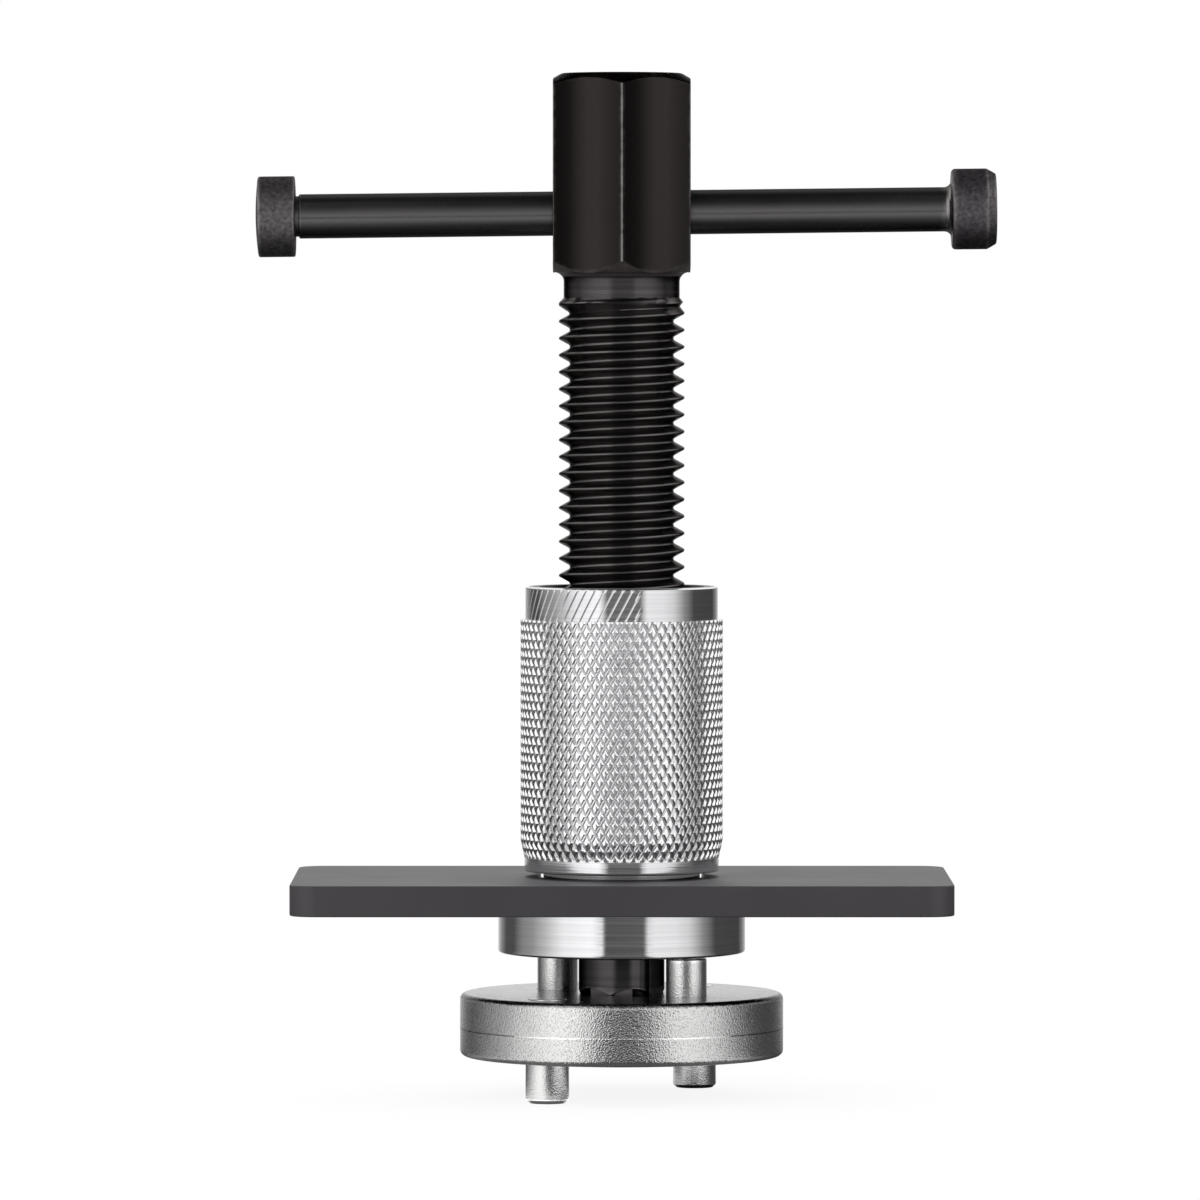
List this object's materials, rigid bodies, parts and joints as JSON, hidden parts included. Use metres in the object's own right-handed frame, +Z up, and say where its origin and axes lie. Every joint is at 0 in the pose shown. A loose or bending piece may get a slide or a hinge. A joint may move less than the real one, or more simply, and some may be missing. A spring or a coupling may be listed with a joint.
{
  "type": "brake caliper piston tool",
  "caption": "Screw tool that turns and presses a caliper piston home: hex-headed spindle with tommy bar, knurled flanged sleeve, slotted reaction plate and magnetic pin adapter.",
  "frame": {"origin": "on the spindle axis, in the adapter disc's underside, at the centre of the two piston pins", "axes": "+Z up the spindle axis to its hexagon head, +X to the tommy bar's forged head, +Y to the open side of the reaction plate's slot"},
  "size_m": [0.1111, 0.0508, 0.1534],
  "materials": {
    "black_oxide": "black oxide, oiled, half gloss",
    "chrome_plate": "turned and knurled steel under bright chrome",
    "black_paint": "satin black on flat steel",
    "zinc_plate": "rough zinc plate on a fine cast grain",
    "pin_steel": "drawn pin under zinc plate",
    "magnet_nickel": "nickel plate"
  },
  "bodies": {
    "sleeve": {"threaded_sleeve": "chrome_plate"},
    "feed": {"drive_magnet": "magnet_nickel"},
    "spindle": {"spindle": "black_oxide"},
    "tommy_bar": {"tommy_bar": "black_oxide", "tommy_bar_cap": "black_oxide"},
    "adapter": {"adapter_disc": "zinc_plate", "lower_pin_1": "pin_steel", "lower_pin_2": "pin_steel", "upper_pin_1": "pin_steel", "upper_pin_2": "pin_steel"},
    "plate": {"reaction_plate": "black_paint"}
  },
  "joints": [
    {"name": "spindle_feed", "type": "slide", "parent": "sleeve", "child": "feed", "axis": [0, 0, 1], "range_m": [-0.0413, 0.0002]},
    {"name": "spindle_turn", "type": "hinge", "parent": "feed", "child": "spindle", "pos_m": [0, 0, 0], "axis": [0, 0, 1], "range_deg": [-5850, 25]},
    {"name": "tommy_bar_slide", "type": "slide", "parent": "spindle", "child": "tommy_bar", "axis": [0.9999, 0, 0.0112], "range_m": [-0.0378, 0.0384]},
    {"name": "adapter_pull_off", "type": "slide", "parent": "spindle", "child": "adapter", "axis": [0, 0, -1], "range_m": [0, 0.015]},
    {"name": "plate_swivel", "type": "hinge", "parent": "sleeve", "child": "plate", "pos_m": [0, 0, 0.0246], "axis": [0, 0, 1], "continuous": true}
  ],
  "couplings": [
    {"joint": "spindle_feed", "follows": "spindle_turn", "m_per_rad": 0.00040425}
  ]
}
